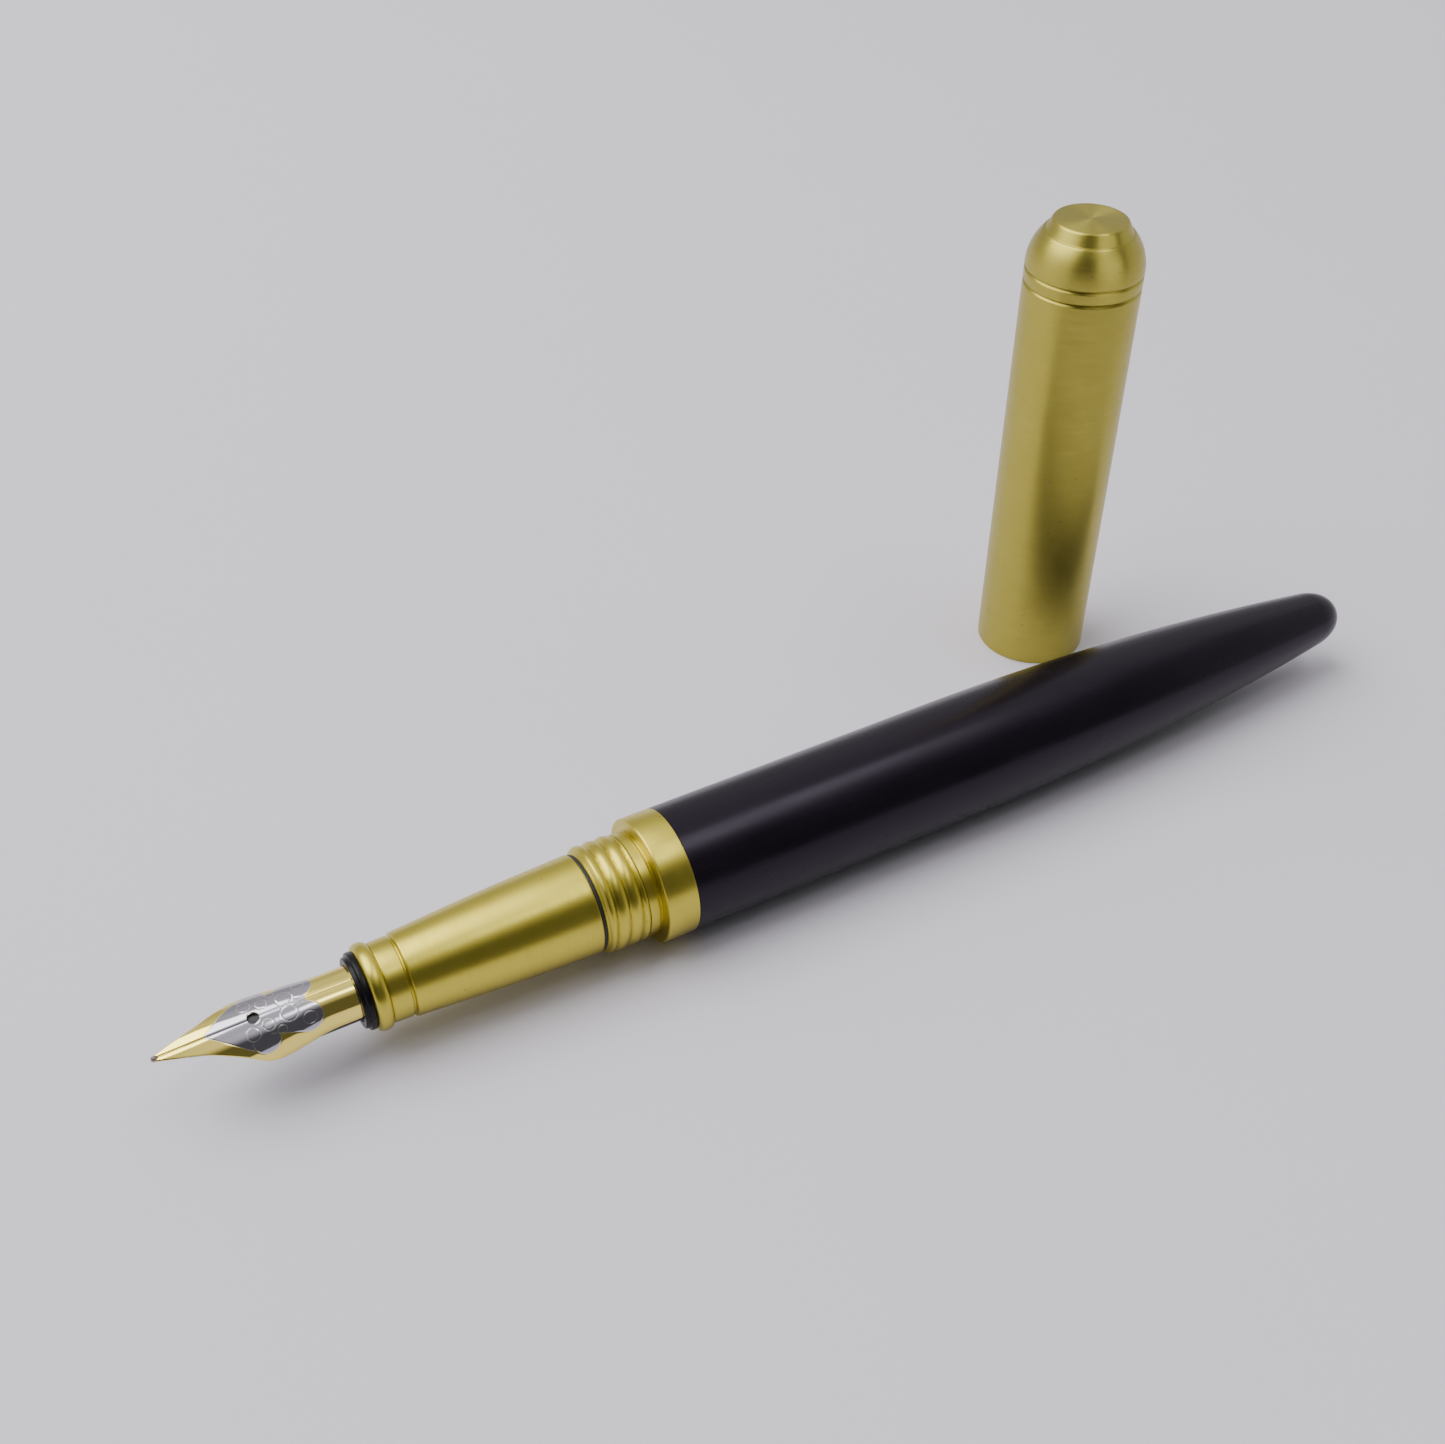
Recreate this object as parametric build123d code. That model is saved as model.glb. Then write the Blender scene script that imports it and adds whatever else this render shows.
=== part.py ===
from build123d import *
import math
import os

# A fountain pen lying uncapped on a table, with its screw cap standing on its
# mouth beside the barrel. Millimetres, +Z up, table at z = 0. The pen's axis
# runs along X, nib towards -X, and stations along it are counted from the rear
# face of the trim ring. The whole set is moved at the end so that the origin
# is the middle of its footprint.

# Driving dimensions of the barrel
BARREL_R = 6.5
BARREL_FRONT = 0.0
TAPER_START = 34.0
TAPER_R = 405.0
DOME_START = 85.4
TAIL_END = 89.2
BARREL_BORE_R = 5.1
BARREL_BORE_END = 57.0
DRILL_R = 4.2
DRILL_END = 61.0
TUBE_WALL = 0.4

# Trim ring and threaded coupler
TRIM_LENGTH = 3.35
TRIM_BORE_R = 5.0
RELIEF_R = 5.12
RELIEF_LENGTH = 1.1
COUPLER_FRONT = -9.25
COUPLER_HUB_END = 8.0
COUPLER_HUB_BORE_R = 3.9
CAP_THREAD_ROOT_R = 5.2
CAP_THREAD_CREST_R = 5.5
CAP_THREAD_PITCH = 1.35

# Grip section and the screw that holds it in the coupler
SECTION_FRONT = -32.1
SECTION_REAR = -9.6
SECTION_REAR_R = 5.1
SECTION_MIDDLE = -18.5
SECTION_MIDDLE_R = 4.78
SECTION_STEP = -28.6
SECTION_STEP_R = 4.16
NECK_R = 3.95
LIP_R = 4.32
LIP_LENGTH = 1.5
LIP_ROOT_R = 3.8
TENON_R = 4.5
TENON_END = -2.2
SECTION_BORE_R = 3.7
RUNNING_CLEARANCE = 0.05

# Nib unit: housing with its collar and nipple, feed and nib
COLLAR_R = 3.82
COLLAR_FRONT = -33.15
COLLAR_STEP = -32.8
COLLAR_STEP_R = 3.5
HOUSING_R = 3.3
HOUSING_REAR = -16.0
HOUSING_BORE_R = 2.82
HOUSING_BORE_END = -17.5
NIPPLE_R = 1.25
NIPPLE_BORE_R = 0.6
NIPPLE_END = -9.6
NIB_TIP = -51.65
NIB_PLATE_END = NIB_TIP + 0.35
NIB_R = 2.78
NIB_THICKNESS = 0.25
NIB_TAIL = -26.0
NIB_HOLE_X = -42.4
NIB_HOLE_R = 0.57
NIB_SLIT = 0.08
NIB_ROLL = 15.0
TIPPING_R = 0.3
FEED_TIP = -48.6
FEED_TAIL = -18.0
FEED_R = 2.58
FEED_FIN_PITCH = 0.82
FEED_FIN_GAP = 0.35
FEED_FINS = 8
FEED_TIP_HEIGHT = 1.5
FEED_TIP_HALF_WIDTH = 0.8
FEED_SWEEP = 5.5
COMB_DEPTH = 1.08
COMB_TOP = -1.4
CHANNEL_WIDTH = 0.3
CHANNEL_DEPTH = 0.35

# Ink converter
CONVERTER_FRONT = -15.6
CONVERTER_R = 3.6
CHAMBER_R = 3.0
CHAMBER_FRONT = -8.6
CONVERTER_TUBE_END = 27.0
SLEEVE_END = 39.0
SLEEVE_WALL = 0.3
KNOB_END = 52.0
KNOB_R = 3.45
SPINDLE_R = 1.2
ROD_R = 1.9
PISTON_FRONT = 16.0
PISTON_REAR = 21.0
ROD_END = 45.0
SEAL_WIDTH = 0.8
SEAL_DEPTH = 0.7
KNOB_WALL = 1.2
KNOB_RIBS = 18

# Cap, standing on its mouth
CAP_R = 6.3
CAP_HEIGHT = 53.7
CAP_X = 61.1
CAP_Y = 20.5
CAP_GROOVE_LOW = 46.8
CAP_GROOVE_HIGH = 48.3
CAP_GROOVE_DEPTH = 0.22
CAP_SHELL_BORE_R = 5.9
CAP_WEB = 1.6
LINER_MOUTH_R = 5.57
LINER_MOUTH_DEPTH = 6.4
LINER_BORE_R = 5.3
LINER_SEAL_R = 5.0
LINER_SEAL_START = 30.0
LINER_TOP = 43.5
CAP_TOP_R = 3.9
CAP_BAND_R = 4.66
CAP_BAND_HEIGHT = 1.3
CAP_BAND_LEDGE = 0.12
CAP_DOME_R = 5.64
CAP_SCREW_R = 1.5
CAP_SCREW_HEAD_R = 2.6
CAP_SCREW_HEAD = 1.2
CAP_SCREW_END = 51.1

# Longer than anything a cutting box has to pass through
CUT = 20.0
ABOVE_AXIS = (Align.CENTER, Align.CENTER, Align.MIN)


def turned(outline):
    """Turns a closed outline of (station, radius) corners about X."""
    return revolve(make_face(Polyline(*outline, close=True)), Axis.X)


def turned_edges(*edges):
    """Turns a closed outline made of joined edges about X."""
    outline = Curve() + list(edges)
    return revolve(make_face(outline), Axis.X)


def rod(start, end, radius):
    """A plain bar along X."""
    return turned([(start, 0), (start, radius), (end, radius), (end, 0)])


def ring(start, end, inner, outer):
    """A plain bush along X."""
    return turned([(start, inner), (start, outer), (end, outer), (end, inner)])


def helical_ridge(crest, height, pitch, start, end):
    """A rounded right-hand ridge wound about X between two stations."""
    path = Helix(
        pitch=pitch,
        height=end - start + 2 * pitch,
        radius=crest - height,
        center=(start - pitch, 0, 0),
        direction=(1, 0, 0),
    )
    bump = Ellipse(0.49 * pitch, height)
    profile = Plane(origin=path @ 0, z_dir=path % 0, x_dir=(1, 0, 0)) * bump
    return sweep(profile, path=path, is_frenet=True) & rod(start, end, crest + height)


def barrel_radius(station):
    """Outside radius of the barrel: parallel at first, then one long arc."""
    if station <= TAPER_START:
        return BARREL_R
    run = station - TAPER_START
    return BARREL_R - TAPER_R + math.sqrt(TAPER_R**2 - run**2)


def make_barrel():
    """The black turned barrel with a rounded closed tail."""
    dome_r = barrel_radius(DOME_START)
    middle = (TAPER_START + DOME_START) / 2
    fall = (DOME_START - TAPER_START) / TAPER_R
    reach = 0.55 * (TAIL_END - DOME_START)
    side = Line((BARREL_FRONT, BARREL_R), (TAPER_START, BARREL_R))
    taper = ThreePointArc(
        (TAPER_START, BARREL_R), (middle, barrel_radius(middle)), (DOME_START, dome_r)
    )
    dome = Bezier(
        (DOME_START, dome_r),
        (DOME_START + reach, dome_r - reach * fall),
        (TAIL_END, 0.6 * dome_r),
        (TAIL_END, 0),
    )
    inside = Polyline(
        (TAIL_END, 0),
        (DRILL_END, 0),
        (DRILL_END, DRILL_R),
        (BARREL_BORE_END, DRILL_R),
        (BARREL_BORE_END, BARREL_BORE_R),
        (BARREL_FRONT, BARREL_BORE_R),
        (BARREL_FRONT, BARREL_R),
    )
    return turned_edges(side, taper, dome, inside)


def make_barrel_tube():
    """The brass tube that lines the barrel."""
    return ring(BARREL_FRONT, BARREL_BORE_END, BARREL_BORE_R - TUBE_WALL, BARREL_BORE_R)


def make_trim_ring():
    """The bright ring at the barrel's mouth, with softened front edge."""
    edge = 0.2
    return turned(
        [
            (-TRIM_LENGTH, TRIM_BORE_R),
            (-TRIM_LENGTH, BARREL_R - edge),
            (-TRIM_LENGTH + edge, BARREL_R),
            (0, BARREL_R),
            (0, TRIM_BORE_R),
        ]
    )


def make_barrel_coupler():
    """The threaded nose: cap thread outside, section thread inside, hub in the tube."""
    bore_r = TENON_R + RUNNING_CLEARANCE
    bore_end = TENON_END + 0.4
    relief = -TRIM_LENGTH - RELIEF_LENGTH
    hub_r = BARREL_BORE_R - TUBE_WALL
    nose = 0.25
    body = turned(
        [
            (COUPLER_FRONT, bore_r),
            (COUPLER_FRONT, CAP_THREAD_ROOT_R - nose),
            (COUPLER_FRONT + nose, CAP_THREAD_ROOT_R),
            (relief, CAP_THREAD_ROOT_R),
            (relief, RELIEF_R),
            (-TRIM_LENGTH, RELIEF_R),
            (-TRIM_LENGTH, TRIM_BORE_R),
            (0, TRIM_BORE_R),
            (0, hub_r),
            (COUPLER_HUB_END, hub_r),
            (COUPLER_HUB_END, COUPLER_HUB_BORE_R),
            (bore_end, COUPLER_HUB_BORE_R),
            (bore_end, bore_r),
        ]
    )
    height = CAP_THREAD_CREST_R - CAP_THREAD_ROOT_R + 0.08
    return body + helical_ridge(
        CAP_THREAD_CREST_R, height, CAP_THREAD_PITCH, COUPLER_FRONT + nose, relief
    )


def make_section_o_ring():
    """The seal between the section's shoulder and the coupler's nose."""
    flat = 0.1
    outer = SECTION_REAR_R - 0.12
    return turned(
        [
            (SECTION_REAR, TENON_R + RUNNING_CLEARANCE),
            (SECTION_REAR, outer - flat),
            (SECTION_REAR + flat, outer),
            (COUPLER_FRONT - flat, outer),
            (COUPLER_FRONT, outer - flat),
            (COUPLER_FRONT, TENON_R + RUNNING_CLEARANCE),
        ]
    )


def make_section():
    """The tapered grip with its lip bead, neck, step and threaded tenon."""
    neck_start = SECTION_FRONT + LIP_LENGTH
    edge = 0.15
    bead = ThreePointArc(
        (SECTION_FRONT, LIP_ROOT_R + edge),
        (SECTION_FRONT + LIP_LENGTH / 2, LIP_R),
        (neck_start, LIP_ROOT_R),
    )
    neck = Polyline(
        (neck_start, LIP_ROOT_R),
        (neck_start + edge, NECK_R),
        (SECTION_STEP - edge, NECK_R),
        (SECTION_STEP, NECK_R - edge),
        (SECTION_STEP + edge, NECK_R - edge),
        (SECTION_STEP + 2 * edge, SECTION_STEP_R),
    )
    grip = ThreePointArc(
        (SECTION_STEP + 2 * edge, SECTION_STEP_R),
        (SECTION_MIDDLE, SECTION_MIDDLE_R),
        (SECTION_REAR - edge, SECTION_REAR_R),
    )
    inside = Polyline(
        (SECTION_REAR - edge, SECTION_REAR_R),
        (SECTION_REAR, SECTION_REAR_R - edge),
        (SECTION_REAR, TENON_R),
        (TENON_END, TENON_R),
        (TENON_END, SECTION_BORE_R),
        (HOUSING_REAR, SECTION_BORE_R),
        (HOUSING_REAR, HOUSING_R),
        (SECTION_FRONT, HOUSING_R),
        (SECTION_FRONT, LIP_ROOT_R + edge),
    )
    return turned_edges(bead, neck, grip, inside)


def make_nib_housing():
    """The black housing: stepped collar, body bored for the feed, rear nipple."""
    edge = 0.12
    return turned(
        [
            (COLLAR_FRONT, HOUSING_BORE_R),
            (COLLAR_FRONT, COLLAR_STEP_R - edge),
            (COLLAR_FRONT + edge, COLLAR_STEP_R),
            (COLLAR_STEP, COLLAR_STEP_R),
            (COLLAR_STEP + edge, COLLAR_R),
            (SECTION_FRONT, COLLAR_R),
            (SECTION_FRONT, HOUSING_R),
            (HOUSING_REAR, HOUSING_R),
            (HOUSING_REAR, NIPPLE_R),
            (NIPPLE_END, NIPPLE_R - 0.2),
            (NIPPLE_END, NIPPLE_BORE_R),
            (HOUSING_BORE_END, NIPPLE_BORE_R),
            (HOUSING_BORE_END, HOUSING_BORE_R),
        ]
    )


def nib_section(station, radius, top, half_angle):
    """A strip of the nib's cross-section: an arc of the given radius under its top."""
    centre = top - radius
    inner = radius - NIB_THICKNESS

    def point(r, angle):
        return (station, r * math.sin(angle), centre + r * math.cos(angle))

    wing = math.radians(half_angle)
    outer_arc = ThreePointArc(point(radius, -wing), point(radius, 0), point(radius, wing))
    inner_arc = ThreePointArc(point(inner, wing), point(inner, 0), point(inner, -wing))
    right = Line(point(radius, wing), point(inner, wing))
    left = Line(point(inner, -wing), point(radius, -wing))
    return Face(Wire([outer_arc, right, inner_arc, left]))


# The nib's form: station, arc radius, height of its top above the axis, half wrap angle
NIB_FORM = [
    (NIB_TAIL, 2.78, 2.78, 82),
    (-36.4, 2.80, 2.80, 88),
    (-38.7, 3.14, 2.82, 85),
    (-40.3, 3.35, 2.82, 84),
    (-41.4, 3.52, 2.82, 79),
    (-42.3, 3.62, 2.81, 71),
    (-43.5, 3.68, 2.79, 56.5),
    (-44.6, 3.72, 2.77, 45),
    (-45.8, 3.74, 2.73, 35),
    (-47.1, 3.70, 2.67, 25.5),
    (-48.4, 3.50, 2.60, 19.5),
    (-49.8, 3.20, 2.52, 14),
    (NIB_PLATE_END, 2.80, 2.43, 6),
]
NIB_TIP_HEIGHT = NIB_FORM[-1][2]


def make_nib_blank():
    """The nib's rolled sheet before it is pierced and slit."""
    return loft([nib_section(*row) for row in NIB_FORM], ruled=True)


def make_nib():
    """The spring-steel nib with its breather hole and slit."""
    nib = make_nib_blank()
    nib -= Pos(NIB_HOLE_X, 0, 0) * Cylinder(NIB_HOLE_R, CUT, align=ABOVE_AXIS)
    slit = Box(CUT, NIB_SLIT, CUT, align=(Align.MAX, Align.CENTER, Align.MIN))
    return nib - Pos(NIB_HOLE_X, 0, 0) * slit


def make_nib_tipping():
    """The hard ball at the nib's point, split by the slit."""
    centre = NIB_TIP + TIPPING_R
    ball = Pos(centre, 0, NIB_TIP_HEIGHT - NIB_THICKNESS / 2) * Sphere(TIPPING_R)
    plate = Pos(NIB_PLATE_END, 0, 0) * Box(CUT, CUT, CUT, align=(Align.MIN, Align.CENTER, Align.MIN))
    slit = Pos(centre, 0, 0) * Box(CUT, NIB_SLIT, CUT, align=ABOVE_AXIS)
    return ball - plate - slit


def upright_cut(*corners):
    """A cutting prism through the feed, from an outline of (station, across) corners."""
    return extrude(make_face(Polyline(*corners, close=True)), amount=CUT, both=True)


def make_feed():
    """The black feed under the nib, with comb fins and an ink channel."""
    under_nib_r = NIB_R - NIB_THICKNESS - 0.03
    held = COLLAR_FRONT + 0.1
    body = rod(FEED_TIP, held, FEED_R) + rod(held, FEED_TAIL, HOUSING_BORE_R - 0.02)
    nib_room = ring(FEED_TIP, NIB_TAIL + 0.2, under_nib_r, HOUSING_BORE_R + 1)
    body -= nib_room & Pos(0, 0, -0.1) * Box(10 * CUT, CUT, CUT, align=ABOVE_AXIS)

    # The exposed part is swept up from below and narrowed to a fine tip.
    sweep_start = COLLAR_FRONT - FEED_SWEEP
    body -= Rot(90, 0, 0) * upright_cut(
        (sweep_start, -HOUSING_BORE_R),
        (FEED_TIP, FEED_TIP_HEIGHT),
        (FEED_TIP, -CUT),
        (sweep_start, -CUT),
    )
    side = upright_cut(
        (NIB_HOLE_X, FEED_R), (FEED_TIP, FEED_TIP_HALF_WIDTH), (FEED_TIP, CUT), (NIB_HOLE_X, CUT)
    )
    body -= side + mirror(side, Plane.XZ)

    comb = Pos(0, 0, COMB_TOP) * Box(10 * CUT, CUT, CUT, align=(Align.CENTER, Align.CENTER, Align.MAX))
    for k in range(FEED_FINS):
        gap_end = COLLAR_FRONT - FEED_FIN_GAP - k * FEED_FIN_PITCH
        body -= ring(gap_end - FEED_FIN_GAP, gap_end, FEED_R - COMB_DEPTH, FEED_R + 1) & comb
    channel = Box(10 * CUT, CHANNEL_WIDTH, CUT, align=ABOVE_AXIS)
    return body - Pos(0, 0, under_nib_r - CHANNEL_DEPTH) * channel - make_nib_blank()


def make_converter_tube():
    """The clear ink reservoir, with the socket that grips the nipple."""
    socket_r = NIPPLE_R + 0.02
    return turned(
        [
            (CONVERTER_FRONT, socket_r),
            (CONVERTER_FRONT, CONVERTER_R - 0.3),
            (CONVERTER_FRONT + 0.3, CONVERTER_R),
            (CONVERTER_TUBE_END - 5, CONVERTER_R),
            (CONVERTER_TUBE_END - 5, CONVERTER_R - SLEEVE_WALL),
            (CONVERTER_TUBE_END, CONVERTER_R - SLEEVE_WALL),
            (CONVERTER_TUBE_END, CHAMBER_R),
            (CHAMBER_FRONT, CHAMBER_R),
            (CHAMBER_FRONT, socket_r),
        ]
    )


def make_converter_sleeve():
    """The bright metal sleeve over the tube's end."""
    start = CONVERTER_TUBE_END - 5
    return ring(start, SLEEVE_END, CONVERTER_R - SLEEVE_WALL, CONVERTER_R)


def make_converter_bush():
    """The guide bush in the sleeve that the piston rod slides through."""
    return ring(CONVERTER_TUBE_END, SLEEVE_END, ROD_R + RUNNING_CLEARANCE, CONVERTER_R - SLEEVE_WALL)


def make_converter_knob():
    """The ribbed filler knob, hollow for the rod, seated behind the sleeve."""
    start = SLEEVE_END + 0.1
    bore_r = ROD_R + 0.15
    knob = turned(
        [
            (start, bore_r),
            (start, KNOB_R - 0.3),
            (start + 0.3, KNOB_R),
            (KNOB_END - 0.6, KNOB_R),
            (KNOB_END, KNOB_R - 0.6),
            (KNOB_END, 0),
            (KNOB_END - KNOB_WALL, 0),
            (KNOB_END - KNOB_WALL, bore_r),
        ]
    )
    margin = 1.5
    rib_length = KNOB_END - start - 2 * margin
    groove = Pos((start + KNOB_END) / 2, 0, KNOB_R + 0.1) * Box(rib_length, 0.45, 0.6)
    for k in range(KNOB_RIBS):
        knob -= Rot(360 / KNOB_RIBS * k, 0, 0) * groove
    return knob


def make_converter_spindle():
    """The screw spindle fixed in the knob's end wall."""
    return rod(PISTON_REAR + 0.6, KNOB_END - KNOB_WALL, SPINDLE_R)


def make_converter_rod():
    """The hollow rod that the spindle drives along."""
    return ring(PISTON_REAR, ROD_END, SPINDLE_R + RUNNING_CLEARANCE, ROD_R)


def seal_stations():
    """Where each of the piston's two seals starts, one land in from either end."""
    land = 0.8
    return PISTON_FRONT + land, PISTON_REAR - land - SEAL_WIDTH


def make_converter_piston():
    """The piston head with two lands and a groove for each seal."""
    land = CHAMBER_R - 0.25
    waist = CHAMBER_R - SEAL_DEPTH
    first, second = seal_stations()
    return turned(
        [
            (PISTON_FRONT, 0),
            (PISTON_FRONT, land),
            (first, land),
            (first, waist),
            (first + SEAL_WIDTH, waist),
            (first + SEAL_WIDTH, land),
            (second, land),
            (second, waist),
            (second + SEAL_WIDTH, waist),
            (second + SEAL_WIDTH, land),
            (PISTON_REAR, land),
            (PISTON_REAR, 0),
        ]
    )


def make_converter_seals():
    """The two rubber rings that wipe the ink chamber."""
    inner, outer = CHAMBER_R - SEAL_DEPTH, CHAMBER_R - 0.02
    return Compound(children=[ring(s, s + SEAL_WIDTH, inner, outer) for s in seal_stations()])


def make_cap_shell():
    """The brass cap shell up to the lower groove, with the web that holds the screw."""
    web = CAP_GROOVE_LOW - CAP_WEB
    screw_hole_r = CAP_SCREW_R + RUNNING_CLEARANCE
    g = CAP_GROOVE_DEPTH
    edge = 0.15
    return turned(
        [
            (0, CAP_SHELL_BORE_R),
            (0, CAP_R - edge),
            (edge, CAP_R),
            (CAP_GROOVE_LOW - g, CAP_R),
            (CAP_GROOVE_LOW, CAP_R - g),
            (CAP_GROOVE_LOW, screw_hole_r),
            (web, screw_hole_r),
            (web, CAP_SHELL_BORE_R),
        ]
    )


def make_cap_liner():
    """The black inner cap: threaded mouth, clear bore, sealing bore and closed top."""
    return turned(
        [
            (0.6, LINER_MOUTH_R),
            (0.6, CAP_SHELL_BORE_R),
            (LINER_TOP, CAP_SHELL_BORE_R),
            (LINER_TOP, 0),
            (LINER_TOP - 0.8, 0),
            (LINER_TOP - 0.8, LINER_SEAL_R),
            (LINER_SEAL_START, LINER_SEAL_R),
            (LINER_SEAL_START - 0.6, LINER_BORE_R),
            (LINER_MOUTH_DEPTH, LINER_BORE_R),
            (LINER_MOUTH_DEPTH, LINER_MOUTH_R),
        ]
    )


def make_cap_spacer_ring():
    """The narrow ring clamped between shell and finial; its edges form two V grooves."""
    g = CAP_GROOVE_DEPTH
    screw_hole_r = CAP_SCREW_R + RUNNING_CLEARANCE
    return turned(
        [
            (CAP_GROOVE_LOW, screw_hole_r),
            (CAP_GROOVE_LOW, CAP_R - g),
            (CAP_GROOVE_LOW + g, CAP_R),
            (CAP_GROOVE_HIGH - g, CAP_R),
            (CAP_GROOVE_HIGH, CAP_R - g),
            (CAP_GROOVE_HIGH, screw_hole_r),
        ]
    )


def dome_radius(height, shoulder):
    """Outside radius of the cap's dome at a height above its shoulder."""
    return CAP_R - CAP_DOME_R + math.sqrt(CAP_DOME_R**2 - (height - shoulder) ** 2)


def make_cap_finial():
    """The domed end with a short band and a flat top, tapped for the screw."""
    g = CAP_GROOVE_DEPTH
    band = CAP_HEIGHT - CAP_BAND_HEIGHT
    shoulder = CAP_GROOVE_HIGH + g
    middle = (shoulder + band) / 2
    tapped_end = CAP_SCREW_END + 0.2
    base = Polyline((CAP_GROOVE_HIGH, CAP_SCREW_R), (CAP_GROOVE_HIGH, CAP_R - g), (shoulder, CAP_R))
    dome = ThreePointArc(
        (shoulder, CAP_R), (middle, dome_radius(middle, shoulder)), (band, CAP_BAND_R)
    )
    top = Polyline(
        (band, CAP_BAND_R),
        (band, CAP_BAND_R - CAP_BAND_LEDGE),
        (CAP_HEIGHT - 0.1, CAP_TOP_R + 0.05),
        (CAP_HEIGHT, CAP_TOP_R - 0.1),
        (CAP_HEIGHT, 0),
        (tapped_end, 0),
        (tapped_end, CAP_SCREW_R),
        (CAP_GROOVE_HIGH, CAP_SCREW_R),
    )
    return turned_edges(base, dome, top)


def make_cap_screw():
    """The slotted screw that clamps the cap's three pieces together."""
    web = CAP_GROOVE_LOW - CAP_WEB
    head = web - CAP_SCREW_HEAD
    screw = turned(
        [
            (head, 0),
            (head, CAP_SCREW_HEAD_R),
            (web, CAP_SCREW_HEAD_R),
            (web, CAP_SCREW_R),
            (CAP_SCREW_END, CAP_SCREW_R),
            (CAP_SCREW_END, 0),
        ]
    )
    slot = Pos(head, 0, 0) * Box(CAP_SCREW_HEAD, CUT, 0.7)
    return screw - slot


PEN_PLACE = Pos(0, 0, BARREL_R)
NIB_PLACE = PEN_PLACE * Rot(NIB_ROLL, 0, 0)
CAP_PLACE = Pos(CAP_X, CAP_Y, 0) * Rot(0, -90, 0)

PIECES = {
    "barrel": PEN_PLACE * make_barrel(),
    "barrel_tube": PEN_PLACE * make_barrel_tube(),
    "trim_ring": PEN_PLACE * make_trim_ring(),
    "barrel_coupler": PEN_PLACE * make_barrel_coupler(),
    "section_o_ring": PEN_PLACE * make_section_o_ring(),
    "section": PEN_PLACE * make_section(),
    "nib_housing": PEN_PLACE * make_nib_housing(),
    "nib": NIB_PLACE * make_nib(),
    "nib_tipping": NIB_PLACE * make_nib_tipping(),
    "feed": NIB_PLACE * make_feed(),
    "converter_tube": PEN_PLACE * make_converter_tube(),
    "converter_sleeve": PEN_PLACE * make_converter_sleeve(),
    "converter_bush": PEN_PLACE * make_converter_bush(),
    "converter_knob": PEN_PLACE * make_converter_knob(),
    "converter_spindle": PEN_PLACE * make_converter_spindle(),
    "converter_rod": PEN_PLACE * make_converter_rod(),
    "converter_piston": PEN_PLACE * make_converter_piston(),
    "converter_seals": PEN_PLACE * make_converter_seals(),
    "cap_shell": CAP_PLACE * make_cap_shell(),
    "cap_liner": CAP_PLACE * make_cap_liner(),
    "cap_spacer_ring": CAP_PLACE * make_cap_spacer_ring(),
    "cap_finial": CAP_PLACE * make_cap_finial(),
    "cap_screw": CAP_PLACE * make_cap_screw(),
}

# The footprint's middle, worked out from the outermost sizes
FOOTPRINT_X = (NIB_TIP + TAIL_END) / 2
FOOTPRINT_Y = (CAP_Y + CAP_R - BARREL_R) / 2

os.makedirs("parts", exist_ok=True)
for name, piece in PIECES.items():
    placed = Pos(-FOOTPRINT_X, -FOOTPRINT_Y, 0) * piece
    export_step(placed, f"parts/{name}.step")
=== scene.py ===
import math

import bpy
import bmesh
import numpy as np
from mathutils import Matrix, Vector


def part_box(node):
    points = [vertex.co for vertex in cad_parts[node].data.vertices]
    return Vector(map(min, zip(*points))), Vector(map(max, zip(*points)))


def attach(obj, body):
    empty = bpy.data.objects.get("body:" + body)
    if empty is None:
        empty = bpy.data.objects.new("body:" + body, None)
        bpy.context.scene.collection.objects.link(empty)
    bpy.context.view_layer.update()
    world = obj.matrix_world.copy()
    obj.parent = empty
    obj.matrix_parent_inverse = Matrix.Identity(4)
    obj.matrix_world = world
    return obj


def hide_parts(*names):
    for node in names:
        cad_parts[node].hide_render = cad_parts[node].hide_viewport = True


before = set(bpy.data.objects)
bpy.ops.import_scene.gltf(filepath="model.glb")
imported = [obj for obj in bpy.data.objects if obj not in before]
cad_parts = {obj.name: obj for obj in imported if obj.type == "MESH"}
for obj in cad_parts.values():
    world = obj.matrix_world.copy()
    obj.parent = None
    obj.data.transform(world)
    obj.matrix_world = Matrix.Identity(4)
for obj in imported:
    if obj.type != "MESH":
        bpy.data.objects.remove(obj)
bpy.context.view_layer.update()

MM = 0.001


# ---------------------------------------------------------------- places read from the frame
def span(node):
    """Lowest and highest corners of a CAD node, in millimetres."""
    low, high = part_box(node)
    return Vector(low) / MM, Vector(high) / MM


barrel_low, barrel_high = span("barrel")
trim_low = span("trim_ring")[0]
coupler_low, coupler_high = span("barrel_coupler")
seal_low, seal_high = span("section_o_ring")
section_low, section_high = span("section")
housing_low, housing_high = span("nib_housing")
nib_low, nib_high = span("nib")
tipping_low, tipping_high = span("nib_tipping")
feed_low, feed_high = span("feed")
cap_low, cap_high = span("cap_shell")
spacer_high = span("cap_spacer_ring")[1]
finial_high = span("cap_finial")[1]

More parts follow.
